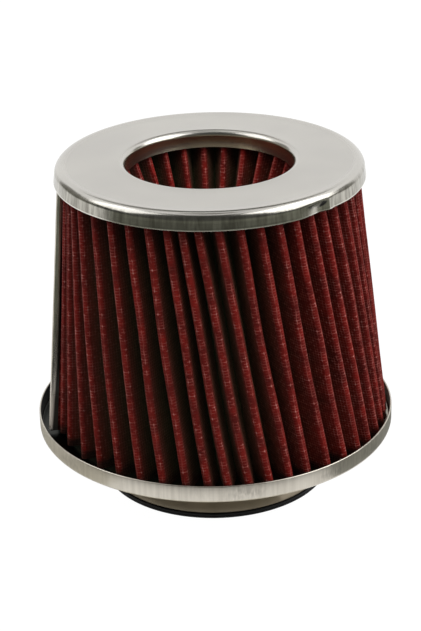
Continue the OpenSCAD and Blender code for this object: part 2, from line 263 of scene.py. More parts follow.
pan_low, pan_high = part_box("base_pan")
pan_sheet = 0.8 * mm
pan_bend_r = 1.4 * mm
pan_r = pan_high.x
pan_hole_r = 47.8 * mm
pan_in_r = pan_r - pan_sheet
pan_wall_r = pan_r - pan_bend_r
pan_bend_z = pan_low.z + pan_bend_r
pan_fold_z = pan_high.z - pan_sheet / 2
pan_steps = 360
pan = turn_section("base_pan_steel", (
    [(pan_hole_r, pan_low.z)]
    + bend(pan_wall_r, pan_bend_z, pan_bend_r, -90, 0, 8)
    + bend(pan_r - pan_sheet / 2, pan_fold_z, pan_sheet / 2, 0, 180, 10)
    + bend(pan_wall_r, pan_bend_z, pan_bend_r - pan_sheet, 0, -90, 6)
    + [(pan_hole_r, pan_low.z + pan_sheet)]
), pan_steps)

# Tinned steel sheet: satin, warm grey, with fine upright press marks on the rim, 0.7 to the millimetre.
# Handling has rubbed the middle of the rim dull, in patches about 22 mm wide. Inside the rim the floor
# and wall carry painted shade, dark as shadow and dark reflection, up to a wavy edge at the right
press_marks = 0.7 / mm
press_stretch = (1, 1, 0.04)
rub_patches = 0.045 / mm
rub_ticks = 1.1 / mm
rub_stretch = (1, 1, 0.3)
rub_reach = 4 * mm
pan_shade_waves = 0.06 / mm
pan_shade_sway = 30 * mm
tinplate, tin_tree, tin = new_material("tinned_steel_sheet")
tin_place = add_node(tin_tree, "TexCoord").outputs["Object"]
tin_upright = add_node(tin_tree, "Mapping", {"Vector": tin_place, "Scale": press_stretch})
tin_marks = add_node(tin_tree, "TexNoise", {"Vector": tin_upright, "Scale": press_marks, "Detail": 4})
tin_shade = add_node(tin_tree, "ValToRGB", {"Fac": tin_marks.outputs[0]},
                     [(0.25, "#BEB8AC"), (0.75, "#D4CEC2")])
tin_axes = add_node(tin_tree, "SeparateXYZ", {0: tin_place})
rim_off = add_node(tin_tree, "Math", {0: tin_axes.outputs["Z"], 1: (pan_low.z + pan_high.z) / 2},
                   operation="SUBTRACT")
rim_away = add_node(tin_tree, "Math", {0: rim_off}, operation="ABSOLUTE")
rub_band = add_node(tin_tree, "MapRange", {
    "Value": rim_away, "From Min": 0, "From Max": rub_reach, "To Min": 1, "To Max": 0})
rub_cloud = add_node(tin_tree, "TexNoise", {"Vector": tin_place, "Scale": rub_patches, "Detail": 1})
rub_here = add_node(tin_tree, "MapRange", {"Value": rub_cloud, "From Min": 0.42, "From Max": 0.75})
rub_upright = add_node(tin_tree, "Mapping", {"Vector": tin_place, "Scale": rub_stretch})
rub_grain = add_node(tin_tree, "TexNoise", {"Vector": rub_upright, "Scale": rub_ticks, "Detail": 2})
rub_hit = add_node(tin_tree, "MapRange", {"Value": rub_grain, "From Min": 0.35, "From Max": 0.65})
rub_zone = add_node(tin_tree, "Math", {0: rub_band, 1: rub_here}, operation="MULTIPLY")
rub = add_node(tin_tree, "Math", {0: rub_zone, 1: rub_hit}, operation="MULTIPLY")
rubbed = add_node(tin_tree, "Mix", {"Factor": rub, "A": tin_shade, "B": "#827E76"}, data_type="RGBA")
tin_flat = add_node(tin_tree, "CombineXYZ", {"X": tin_axes.outputs["X"], "Y": tin_axes.outputs["Y"]})
tin_reach = add_node(tin_tree, "VectorMath", {0: tin_flat}, operation="LENGTH").outputs["Value"]
# Painted shade: inside the rim the floor and wall are painted near black, as shadow and dark reflection,
# except at the right
pan_shade_noise = add_node(tin_tree, "TexNoise", {"Vector": tin_flat, "Scale": pan_shade_waves, "Detail": 2})
pan_shade_wave = add_node(tin_tree, "Math", {0: pan_shade_noise, 1: pan_shade_sway, 2: tin_axes.outputs["X"]},
                      operation="MULTIPLY_ADD")
pan_shade_side = add_node(tin_tree, "MapRange", {
    "Value": pan_shade_wave, "From Min": 52 * mm, "From Max": 64 * mm, "To Min": 1, "To Max": 0})
on_inside = add_node(tin_tree, "MapRange", {
    "Value": tin_reach, "From Min": pan_in_r + 0.1 * mm, "From Max": pan_in_r + 0.35 * mm,
    "To Min": 1, "To Max": 0})
on_top = add_node(tin_tree, "Math", {0: tin_axes.outputs["Z"], 1: pan_low.z + pan_sheet / 2},
                  operation="GREATER_THAN")
pan_shade_inside = add_node(tin_tree, "Math", {0: on_inside, 1: on_top}, operation="MULTIPLY")
pan_painted_shade = add_node(tin_tree, "Math", {0: pan_shade_inside, 1: pan_shade_side}, operation="MULTIPLY")
pan_shaded = add_node(tin_tree, "Mix", {"Factor": pan_painted_shade, "A": rubbed.outputs[2], "B": "#1E1F19"},
                   data_type="RGBA")
tin_tree.links.new(pan_shaded.outputs[2], tin.inputs["Base Color"])
tin.inputs["Metallic"].default_value = 1
tin.inputs["Roughness"].default_value = 0.3
finish_piece(pan, tinplate, "base_pan")


# Neck tube: a steel tube through the hole in the pan, flanged over onto the pan's floor.
# The steel is duller than the pan's, and darker and browner, partly as painted shade from the pan above it.
neck_low, neck_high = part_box("neck_tube")
neck_sheet = 1 * mm
neck_out_r = 47.7 * mm
neck_in_r = neck_out_r - neck_sheet
flange_r = neck_high.x
flange_low = neck_high.z - neck_sheet
neck_bend_r = 0.3 * mm
neck = turn_section("neck_tube_steel", (
    bend(neck_out_r - neck_bend_r, neck_low.z + neck_bend_r, neck_bend_r, -90, 0, 3)
    + [(neck_out_r, flange_low)]
    + bend(flange_r - neck_bend_r, flange_low + neck_bend_r, neck_bend_r, -90, 0, 3)
    + bend(flange_r - neck_bend_r, neck_high.z - neck_bend_r, neck_bend_r, 0, 90, 3)
    + bend(neck_in_r + neck_sheet, neck_high.z - neck_sheet, neck_sheet, 90, 180, 6)
    + bend(neck_in_r + neck_bend_r, neck_low.z + neck_bend_r, neck_bend_r, 180, 270, 3)
))

# Rolled steel: duller, darker and browner than the tinned sheet, partly as painted shade, with soft clouds
# about 11 mm across
dull_clouds = 0.09 / mm
dull_shaded_steel, dull_tree, dull = new_material("dull_rolled_steel_painted_shade")
dull_place = add_node(dull_tree, "TexCoord").outputs["Object"]
dull_marks = add_node(dull_tree, "TexNoise", {"Vector": dull_place, "Scale": dull_clouds, "Detail": 4})
# Partly painted shade: this darker, browner tone stands in for the shadow under the pan
neck_tone_and_shade = add_node(dull_tree, "ValToRGB", {"Fac": dull_marks.outputs[0]},
                      [(0.3, "#827968"), (0.7, "#988D7B")])
dull_tree.links.new(neck_tone_and_shade.outputs[0], dull.inputs["Base Color"])
dull.inputs["Metallic"].default_value = 1
dull.inputs["Roughness"].default_value = 0.38
finish_piece(neck, dull_shaded_steel, "neck_tube")


# Rubber reducers: two moulded sleeves, one in the other, that step the neck down to the pipe.
# Each has a lip under the tube's end, and the inner one has three grip grooves round its outside.
reducer_low, reducer_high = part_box("outer_reducer")
lip_r = reducer_high.x
lip_t = 1.1 * mm
lip_round = 0.35 * mm
split_r = 42 * mm
sleeve_gap = 0.1 * mm
outer_sleeve = turn_section("outer_reducer_rubber", (
    bend(lip_r - lip_round, reducer_low.z + lip_round, lip_round, -90, 0, 4)
    + bend(lip_r - lip_round, reducer_low.z + lip_t - lip_round, lip_round, 0, 90, 4)
    + [(neck_in_r - sleeve_gap, reducer_low.z + lip_t)]
    + bend(neck_in_r - sleeve_gap - lip_round, reducer_high.z - lip_round, lip_round, 0, 90, 4)
    + bend(split_r + sleeve_gap + lip_round, reducer_high.z - lip_round, lip_round, 90, 180, 4)
    + [(split_r + sleeve_gap, reducer_low.z)]
))

inner_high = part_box("inner_reducer")[1]
bore_r = 38 * mm
mouth_chamfer = 0.6 * mm
groove_depth = 0.8 * mm
groove_high = 2.5 * mm
groove_edges = []
for share in (1, 2, 3):
    groove_z = 2 * lip_t + (inner_high.z - 2 * lip_t) * share / 4
    groove_edges += [
        (split_r, groove_z - groove_high / 2), (split_r - groove_depth, groove_z - groove_high / 2),
        (split_r - groove_depth, groove_z + groove_high / 2), (split_r, groove_z + groove_high / 2),
    ]
inner_sleeve = turn_section("inner_reducer_rubber", (
    bend(lip_r - lip_round, lip_round, lip_round, -90, 0, 4)
    + bend(lip_r - lip_round, lip_t - lip_round, lip_round, 0, 90, 4)
    + [(split_r, lip_t)]
    + groove_edges
    + bend(split_r - lip_round, inner_high.z - lip_round, lip_round, 0, 90, 4)
    + bend(bore_r + lip_round, inner_high.z - lip_round, lip_round, 90, 180, 4)
    + [(bore_r, mouth_chamfer), (bore_r + mouth_chamfer, 0)]
))

# Moulded rubber: nearly black and dull, with a faint bloom in clouds about 8 mm across
bloom_clouds = 0.13 / mm
moulded_rubber, rubber_tree, rubber = new_material("moulded_rubber")
rubber_place = add_node(rubber_tree, "TexCoord").outputs["Object"]
rubber_bloom = add_node(rubber_tree, "TexNoise", {
    "Vector": rubber_place, "Scale": bloom_clouds, "Detail": 5})
rubber_shade = add_node(rubber_tree, "ValToRGB", {"Fac": rubber_bloom.outputs[0]},
                        [(0.35, "#040404"), (0.75, "#0C0C0A")])
rubber_tree.links.new(rubber_shade.outputs[0], rubber.inputs["Base Color"])
rubber.inputs["Roughness"].default_value = 0.6
rubber.inputs["Specular IOR Level"].default_value = 0.22
finish_piece(outer_sleeve, moulded_rubber, "outer_reducer")
finish_piece(inner_sleeve, moulded_rubber, "inner_reducer")


# Adhesive and potting: polyurethane poured on the pan's floor, in the inner cone's cup and under the cap.
# It cured round the ends of both pleated sheets. It is nearly black, clouded every 6 mm, and hardly shows.
potting_clouds = 0.16 / mm
potting, potting_tree, potting_shader = new_material("cast_polyurethane")
potting_place = add_node(potting_tree, "TexCoord").outputs["Object"]
potting_noise = add_node(potting_tree, "TexNoise", {
    "Vector": potting_place, "Scale": potting_clouds, "Detail": 3})
# Partly painted shade: on the pan's floor its near black stands in for the shadow between the pleats' feet
potting_tone_and_shade = add_node(potting_tree, "ValToRGB", {"Fac": potting_noise.outputs[0]},
                         [(0.3, "#0B0D09"), (0.8, "#171810")])
potting_tree.links.new(potting_tone_and_shade.outputs[0], potting_shader.inputs["Base Color"])
potting_shader.inputs["Roughness"].default_value = 0.55
potting_shader.inputs["Specular IOR Level"].default_value = 0.12
for node in ("base_bond", "inner_bond", "top_bond"):
    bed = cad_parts[node]
    bed.data.materials.clear()
    bed.data.materials.append(potting)


# Outer pleats: one long sheet of oiled red cotton between two wire screens, folded into 50 pleats.
# They lean as they run down, the foot sits off centre, and the sheet's two ends meet at the seam.
def direction(angle):
    """Unit vector in plan for an angle in degrees"""
    return np.array([math.cos(math.radians(angle)), math.sin(math.radians(angle))])


def fold(middle, towards, before, after, radius, steps):
    """Points round one fold of the sheet, from one side of its direction to the other, in degrees"""
    turn = np.radians(np.linspace(towards - before, towards + after, steps + 1))
    return middle + radius * np.stack([np.cos(turn), np.sin(turn)], -1)


def flank_turn(tip, valley, half, radius):
    """Direction off a tip's own axis, in degrees, at which its fold runs into the flank"""
    across = direction(half) * valley - [tip, 0]
    reach = math.hypot(*across)
    return math.degrees(math.atan2(across[1], across[0]) - math.acos(2 * radius / reach))


def pleat_line(middle, angles, tip, valley, radius, fold_steps, flank_steps):
    """Middle of the sheet in plan, from the first pleat's tip round to the last pleat's flank"""
    halves = np.diff(angles, append=angles[0] + 360) / 2
    turns = [flank_turn(tip, valley, half, radius) for half in halves]
    parts = []
    for k, half in enumerate(halves):
        parts.append(fold(middle + direction(angles[k]) * tip, angles[k], turns[k - 1], turns[k],
                          radius, fold_steps))
        inward = angles[k] + half
        parts.append(fold(middle + direction(inward) * valley, inward + 180, half - turns[k],
                          half - turns[k], radius, fold_steps))
    line = []
    for part, following in zip(parts, parts[1:] + parts[:1]):
        line.append(part)
        share = np.linspace(0, 1, flank_steps + 1)[1:-1, None]
        line.append(part[-1] + (following[0] - part[-1]) * share)
    return np.concatenate(line)


def weave_sheet(name, rows, heights, sunk_rows, thickness, grip=None):
    """A flat grid is added and folded: each of its rows of points goes to its place at one height.
    grip thins the sheet along a row. Without it the row's ends are joined"""
    across, up = len(rows[0]), len(rows)
    bpy.ops.object.select_all(action="DESELECT")
    bpy.ops.mesh.primitive_grid_add(x_subdivisions=across - 1, y_subdivisions=up - 1, size=1)
    piece = bpy.context.object
    piece.name = name
    places = np.concatenate([np.column_stack([row, np.full(across, z)]) for row, z in zip(rows, heights)])
    piece.data.vertices.foreach_set("co", places.astype(np.float32).ravel())
    lengths = np.concatenate([[0], np.cumsum(np.linalg.norm(np.diff(rows[up // 2], axis=0), axis=1))])
    corners = np.zeros(len(piece.data.loops), np.int32)
    piece.data.loops.foreach_get("vertex_index", corners)
    weave = np.stack([lengths[corners % across], np.array(heights)[corners // across]], -1)
    piece.data.uv_layers.active.data.foreach_set("uv", weave.astype(np.float32).ravel())
    sunk = piece.data.attributes.new("sunk", "FLOAT", "POINT")
    sunk.data.foreach_set("value", np.concatenate(sunk_rows).astype(np.float32))
    solid = piece.modifiers.new("thickness", "SOLIDIFY")
    solid.thickness = thickness
    solid.offset = 0
    solid.use_even_offset = True
    if grip is None:
        bpy.ops.object.mode_set(mode="EDIT")
        bpy.ops.mesh.select_all(action="SELECT")
        bpy.ops.mesh.remove_doubles(threshold=0.01 * mm)
        bpy.ops.object.mode_set(mode="OBJECT")
    else:
        gripped = piece.vertex_groups.new(name="grip")
        for column, weight in enumerate(grip):
            gripped.add([column + across * row for row in range(up)], weight, "REPLACE")
        solid.vertex_group = gripped.name
    bpy.ops.object.modifier_apply(modifier=solid.name)
    return piece


pleats_low, pleats_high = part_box("outer_media")
pleat_count = 50
pleat_depth = 13 * mm
sheet_t = 1.4 * mm
fold_r = 1.6 * mm
mid_fold_r = fold_r - sheet_t / 2
tips_top = 60.16 * mm
tips_foot = 70.3 * mm
foot_shift = 2.8 * mm
seam_top = 185
seam_turn = 6.5

# Degrees from one pleat to the next under the cap, and each one's turn from cap to pan, by pleat number
gap_stops = [(0, 10.9), (1, 5.4), (2, 4.1), (3, 5.9), (4, 9.2), (7, 8.1), (8, 7.4), (9, 5.5), (10, 5.9),
             (11, 7.6), (12, 7.8), (16, 6.9), (17.5, 6.4), (19, 7.6), (20, 6.8), (21, 6.8)]
turn_stops = [(0, seam_turn), (1, -1.6), (2, 2.5), (3, 9.5), (4, 12.6), (7, 11.8), (9, 11.6), (11, 13.8),
              (14, 11.4), (17, 13.7), (19, 15), (24, 12.5), (46, 11.5), (48, 9.5), (49, 8.5)]
last_uneven = 21
pleat_numbers = np.arange(pleat_count)
gaps = np.interp(pleat_numbers, *zip(*gap_stops))
even = pleat_numbers > last_uneven
gaps[even] = (360 - gaps[~even].sum()) / even.sum()
top_angles = seam_top + np.concatenate([[0], np.cumsum(gaps)[:-1]])
turns_down = np.interp(pleat_numbers, *zip(*turn_stops))

# Each pleat but the first two, at the seam, wanders off its line on the way down, by up to 0.4 degrees
wander_rng = np.random.default_rng(7)
wander_waves = wander_rng.uniform(0.6, 1.6, pleat_count)
wander_starts = wander_rng.uniform(0, 2 * math.pi, pleat_count)
wander_sizes = wander_rng.uniform(0.1, 0.4, pleat_count)
wander_sizes[:2] = 0

# The sheet's two end leaves stand together in the clip, thinned by its grip.
# The clip's outer bend follows a straight line from seam_at_foot to seam_at_top
clip_proud_top = 1.2 * mm
clip_proud_foot = 4.3 * mm
seam_at_top = direction(seam_top) * (tips_top + clip_proud_top)
seam_at_foot = np.array([foot_shift, 0]) + direction(seam_top + seam_turn) * (tips_foot + clip_proud_foot)
seam_out = (seam_at_top + seam_at_foot) / np.linalg.norm(seam_at_top + seam_at_foot)
seam_side = np.array([-seam_out[1], seam_out[0]])
leaf_t = 0.8 * mm
leaf_depths = np.linspace(0.7, 3.6, 4)[:, None] * mm
sheet_rows = 30
fold_steps = 6
flank_steps = 6
flank_share = np.linspace(0, 1, 5)[1:-1, None]

outer_rows, outer_heights, outer_sunk = [], [], []
for share in np.linspace(0, 1, sheet_rows):
    tip = tips_foot + (tips_top - tips_foot) * share - fold_r
    valley = tip - pleat_depth + 2 * fold_r
    wander = wander_sizes * np.sin(wander_starts + 2 * math.pi * wander_waves * share)
    angles = top_angles + turns_down * (1 - share) + wander * math.sin(math.pi * share)
    middle = np.array([foot_shift * (1 - share), 0])
    line = pleat_line(middle, angles, tip, valley, mid_fold_r, fold_steps, flank_steps)
    inside = line[fold_steps + flank_steps:1 - flank_steps]
    edge = seam_at_foot + (seam_at_top - seam_at_foot) * share
    first_leaf = edge - seam_out * leaf_depths + seam_side * leaf_t / 2
    last_leaf = (edge - seam_out * leaf_depths - seam_side * leaf_t / 2)[::-1]
    row = np.concatenate([
        first_leaf, first_leaf[-1] + (inside[0] - first_leaf[-1]) * flank_share,
        inside,
        inside[-1] + (last_leaf[0] - inside[-1]) * flank_share, last_leaf])
    outer_rows.append(row)
    outer_heights.append(pleats_low.z + (pleats_high.z - pleats_low.z) * share)
    outer_sunk.append((tip + fold_r - np.linalg.norm(row - middle, axis=1)) / pleat_depth)

leaf_grip = np.ones(len(outer_rows[0]))
held = len(leaf_depths) + len(flank_share)
leaf_grip[:held] = np.interp(np.arange(held), [len(leaf_depths) - 1, held], [leaf_t / sheet_t, 1])
leaf_grip[-held:] = leaf_grip[:held][::-1]
outer_gauze = weave_sheet(
    "outer_pleated_gauze", outer_rows, outer_heights, outer_sunk, sheet_t,
    leaf_grip)

# Oiled cotton gauze under a woven wire screen: deep red on the folds, in patches about 7 mm across, and
# nearly black in the valleys with painted shade, less at the sides and least at the right. It is painted
# darker towards its foot. The wires show as pink rungs, partly their own colour and partly painted
# highlight, and a few crossings carry painted glints. They are drawn thicker than real ones, so that they
# show
wire_pitch = 1.15 * mm
wire_r = 0.19 * mm
wire_waver = 0.6 * mm
waver_waves = 0.3 / mm
dye_patches = 0.14 / mm
gauze, gauze_tree, gauze_shader = new_material("oiled_cotton_gauze")
flat_place = add_node(gauze_tree, "TexCoord").outputs["UV"]
waver = add_node(gauze_tree, "TexNoise", {"Vector": flat_place, "Scale": waver_waves, "Detail": 1})
weave_place = add_node(gauze_tree, "VectorMath", {
    0: waver.outputs["Color"], 1: (wire_waver, wire_waver, 0), 2: flat_place},
    operation="MULTIPLY_ADD").outputs[0]
weave_axes = add_node(gauze_tree, "SeparateXYZ", {0: weave_place})
wires = []
for axis in ("X", "Y"):
    off_wire = add_node(gauze_tree, "Math", {0: weave_axes.outputs[axis], 1: wire_pitch / 2},
                        operation="PINGPONG")
    wires.append(add_node(gauze_tree, "MapRange", {
        "Value": off_wire, "From Min": 0, "From Max": wire_r, "To Min": 1, "To Max": 0},
        interpolation_type="SMOOTHSTEP"))
screen = add_node(gauze_tree, "Math", {0: wires[0], 1: wires[1]}, operation="MAXIMUM")
crossing = add_node(gauze_tree, "Math", {0: wires[0], 1: wires[1]}, operation="MINIMUM")
half_over = add_node(gauze_tree, "VectorMath", {0: weave_place, 1: (wire_pitch / 2, wire_pitch / 2, 0)})
knots = add_node(gauze_tree, "VectorMath", {0: half_over, 1: (wire_pitch, wire_pitch, 1)},
                 operation="SNAP")
chance = add_node(gauze_tree, "TexWhiteNoise", {"Vector": knots}, noise_dimensions="2D").outputs["Value"]
# Painted highlight: each wire segment gets a random share of pink shine, and some crossings a near-white
# painted glint
painted_shine_level = add_node(gauze_tree, "MapRange", {"Value": chance, "From Min": 0.2, "To Min": 0, "To Max": 0.85})
painted_wire_shine = add_node(gauze_tree, "Math", {0: screen, 1: painted_shine_level}, operation="MULTIPLY")
painted_glint_chance = add_node(gauze_tree, "MapRange", {"Value": chance, "From Min": 0.84, "From Max": 1})
painted_glints = add_node(gauze_tree, "Math", {0: crossing, 1: painted_glint_chance}, operation="MULTIPLY")
sunk_depth = add_node(gauze_tree, "Attribute", attribute_name="sunk", attribute_type="GEOMETRY")
gauze_place = add_node(gauze_tree, "TexCoord").outputs["Object"]
gauze_axes = add_node(gauze_tree, "SeparateXYZ", {0: gauze_place})
patches = add_node(gauze_tree, "TexNoise", {"Vector": gauze_place, "Scale": dye_patches, "Detail": 4})
cotton = add_node(gauze_tree, "ValToRGB", {"Fac": patches.outputs[0]},
                  [(0.3, "#5E0B08"), (0.7, "#8E1811")])
wires_and_painted_shine = add_node(gauze_tree, "Mix", {"Factor": painted_wire_shine, "A": cotton, "B": "#CE7066"}, data_type="RGBA")
painted_glinted = add_node(gauze_tree, "Mix", {"Factor": painted_glints, "A": wires_and_painted_shine, "B": "#F6D2CA"},
                   data_type="RGBA")
# Painted shade: the valleys go dark with depth, less so at the left side and least at the right
valley_painted_shade = add_node(gauze_tree, "ValToRGB", {"Fac": sunk_depth.outputs["Fac"]},
                 [(0.1, "#4E1C14"), (0.4, "#322E1E"), (1, "#24462C")])
shade_right_share = add_node(gauze_tree, "MapRange", {
    "Value": gauze_axes.outputs["X"], "From Min": 5 * mm, "From Max": 35 * mm,
    "To Min": 0.95, "To Max": 0.46})
shade_left_share = add_node(gauze_tree, "MapRange", {
    "Value": gauze_axes.outputs["X"], "From Min": -30 * mm, "From Max": -58 * mm,
    "To Min": 1, "To Max": 0.8})
shade_side_share = add_node(gauze_tree, "Math", {0: shade_right_share, 1: shade_left_share}, operation="MULTIPLY")
valley_shade_share = add_node(gauze_tree, "MapRange", {
    "Value": sunk_depth.outputs["Fac"], "From Min": 0, "From Max": 0.17, "To Max": shade_side_share},
    interpolation_type="SMOOTHSTEP")
valley_shaded = add_node(gauze_tree, "Mix", {"Factor": valley_shade_share, "A": painted_glinted, "B": valley_painted_shade}, data_type="RGBA")
# Darker towards the foot, up to a wavy edge
foot_dark_edge = add_node(gauze_tree, "Math", {0: patches, 1: 6 * mm, 2: gauze_axes.outputs["Z"]},
                       operation="MULTIPLY_ADD")
foot_darkening = add_node(gauze_tree, "MapRange", {
    "Value": foot_dark_edge, "From Min": pleats_low.z + 4.5 * mm, "From Max": pleats_low.z + 8 * mm,
    "To Min": 0.85, "To Max": 0}, interpolation_type="SMOOTHSTEP")
foot_darkened = add_node(gauze_tree, "Mix", {"Factor": foot_darkening, "A": valley_shaded.outputs[2], "B": "#1C1710"},
                  data_type="RGBA")
gauze_tree.links.new(foot_darkened.outputs[2], gauze_shader.inputs["Base Color"])
gauze_gloss = add_node(gauze_tree, "MapRange", {"Value": painted_wire_shine, "To Min": 0.7, "To Max": 0.4})
gauze_tree.links.new(gauze_gloss.outputs[0], gauze_shader.inputs["Roughness"])
gauze_shader.inputs["Specular IOR Level"].default_value = 0.2
gauze_shader.inputs["Sheen Weight"].default_value = 0.15
gauze_shader.inputs["Sheen Roughness"].default_value = 0.4
gauze_shader.inputs["Sheen Tint"].default_value = linear("#D88C76")
relief = add_node(gauze_tree, "Bump", {"Height": screen, "Strength": 0.7, "Distance": 0.25 * mm})
gauze_tree.links.new(relief.outputs[0], gauze_shader.inputs["Normal"])
finish_piece(outer_gauze, gauze, "outer_media")


# Seam clip: a strip of drawn steel folded over the sheet's two ends and pressed tight on them,
# from the pan up to the cap. It stands a little proud of the pleats. The CAD solid stays.
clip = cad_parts["seam_clip"]

# Drawn steel: long fine marks along the strip, with near black painted shade on its side behind the bend.
# Towards the foot the painted shade reaches further round the bend, and the foot is painted pale and less
# metallic as a painted highlight
drawn_lines = 0.9 / mm
drawn_stretch = (1, 1, 0.03)
clip_foot_z = pleats_low.z
drawn_steel, drawn_tree, drawn = new_material("drawn_steel_strip")
drawn_place = add_node(drawn_tree, "TexCoord").outputs["Object"]
drawn_along = add_node(drawn_tree, "Mapping", {"Vector": drawn_place, "Scale": drawn_stretch})
drawn_marks = add_node(drawn_tree, "TexNoise", {"Vector": drawn_along, "Scale": drawn_lines, "Detail": 2})
drawn_shade = add_node(drawn_tree, "ValToRGB", {"Fac": drawn_marks.outputs[0]},
                       [(0.3, "#A39E92"), (0.7, "#CFCAC0")])
clip_axes = add_node(drawn_tree, "SeparateXYZ", {0: drawn_place})
clip_lean = float((seam_at_top[0] - seam_at_foot[0]) / (pleats_high.z - clip_foot_z))
clip_edge = add_node(drawn_tree, "Math", {
    0: clip_axes.outputs["Z"], 1: clip_lean, 2: float(seam_at_foot[0]) - clip_lean * clip_foot_z},
    operation="MULTIPLY_ADD")
clip_inward = add_node(drawn_tree, "Math", {0: clip_axes.outputs["X"], 1: clip_edge}, operation="SUBTRACT")
# Painted shade: the side behind the bend is painted near black, reaching further round near the foot
clip_shade_creep = add_node(drawn_tree, "MapRange", {
    "Value": clip_axes.outputs["Z"], "From Min": clip_foot_z, "From Max": clip_foot_z + 30 * mm,
    "To Min": 1 * mm, "To Max": 0})
clip_shade_reach = add_node(drawn_tree, "Math", {0: clip_inward, 1: clip_shade_creep}, operation="ADD")
clip_painted_shade = add_node(drawn_tree, "MapRange", {
    "Value": clip_shade_reach, "From Min": 2.2 * mm, "From Max": 2.8 * mm, "To Max": 0.95})
# Painted highlight: towards the foot the strip is painted pale, and made less metallic so the pale shows
clip_foot_light = add_node(drawn_tree, "MapRange", {
    "Value": clip_axes.outputs["Z"], "From Min": clip_foot_z + 4 * mm, "From Max": clip_foot_z + 26 * mm,
    "To Min": 1, "To Max": 0})
clip_painted_light = add_node(drawn_tree, "Mix", {"Factor": clip_foot_light, "A": drawn_shade, "B": "#F4EADC"},
                     data_type="RGBA")
clip_shade = add_node(drawn_tree, "Mix", {"Factor": clip_painted_shade, "A": clip_painted_light.outputs[2], "B": "#16150F"},
                      data_type="RGBA")
drawn_tree.links.new(clip_shade.outputs[2], drawn.inputs["Base Color"])
clip_foot_metallic = add_node(drawn_tree, "MapRange", {
    "Value": clip_axes.outputs["Z"], "From Min": clip_foot_z + 8 * mm, "From Max": clip_foot_z + 30 * mm,
    "To Min": 0.2, "To Max": 1})
drawn_tree.links.new(clip_foot_metallic.outputs[0], drawn.inputs["Metallic"])
clip_gloss = add_node(drawn_tree, "MapRange", {
    "Value": clip_axes.outputs["Z"], "From Min": clip_foot_z + 5 * mm, "From Max": clip_foot_z + 18 * mm,
    "To Min": 0.6, "To Max": 0.22})
drawn_tree.links.new(clip_gloss.outputs[0], drawn.inputs["Roughness"])
clip.data.materials.clear()
clip.data.materials.append(drawn_steel)


# Cap of the inner cone: a shallow cup pressed from the same steel, filled with potting.
# It closes the foot of the inverted cone and shows only through the neck.
cup_low, cup_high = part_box("inner_cone_cap")
cup_sheet = 0.6 * mm
cup_bend_r = 1.2 * mm
cup_r = cup_high.x
cup_wall_r = cup_r - cup_bend_r
cup_bend_z = cup_low.z + cup_bend_r
cup_centre_r = 0.0001 * mm
cup = turn_section("inner_cone_cap_steel", (
    [(cup_centre_r, cup_low.z)]
    + bend(cup_wall_r, cup_bend_z, cup_bend_r, -90, 0, 6)
    + bend(cup_r - cup_sheet / 2, cup_high.z - cup_sheet / 2, cup_sheet / 2, 0, 180, 8)
    + bend(cup_wall_r, cup_bend_z, cup_bend_r - cup_sheet, 0, -90, 6)
    + [(cup_centre_r, cup_low.z + cup_sheet)]
))
# The tinplate's painted shade applies here too, inside the rim and above the pan's underside
finish_piece(cup, tinplate, "inner_cone_cap")


# Inner pleats: a second sheet of the same gauze, folded into an inverted cone of 26 finer pleats and
# potted under the cap and in the cup. Its folds that face the hole are the bright ones: the outer folds,
# deep in its valleys, carry painted shade, less than the outer sheet's. It narrows from the cap to the cup.
cone_low, cone_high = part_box("inner_media")
inner_count = 26
inner_depth = 9.5 * mm
inner_sheet = 1 * mm
inner_fold_r = 1.2 * mm
inner_mid_r = inner_fold_r - inner_sheet / 2
backs_top = 45.26 * mm
backs_foot = 26.26 * mm
inner_turn = 3.7
inner_shade_share = 0.8
inner_row_count = 24
inner_flank_steps = 5
inner_angles = inner_turn + 360 * np.arange(inner_count) / inner_count
inner_rows, inner_heights, inner_sunk = [], [], []
for share in np.linspace(0, 1, inner_row_count):
    tip = backs_foot + (backs_top - backs_foot) * share - inner_fold_r
    valley = tip - inner_depth + 2 * inner_fold_r
    line = pleat_line(np.zeros(2), inner_angles, tip, valley, inner_mid_r, fold_steps, inner_flank_steps)
    row = np.concatenate([line, line[:1]])
    inner_rows.append(row)
    inner_heights.append(cone_low.z + (cone_high.z - cone_low.z) * share)
    # Painted shade: the folds away from the hole are darkened, at a lower share than the outer sheet's
    inner_sunk.append(inner_shade_share * (np.linalg.norm(row, axis=1) - valley + inner_fold_r) / inner_depth)
inner_gauze = weave_sheet(
    "inner_pleated_gauze", inner_rows, inner_heights, inner_sunk, inner_sheet)
finish_piece(inner_gauze, gauze, "inner_media")


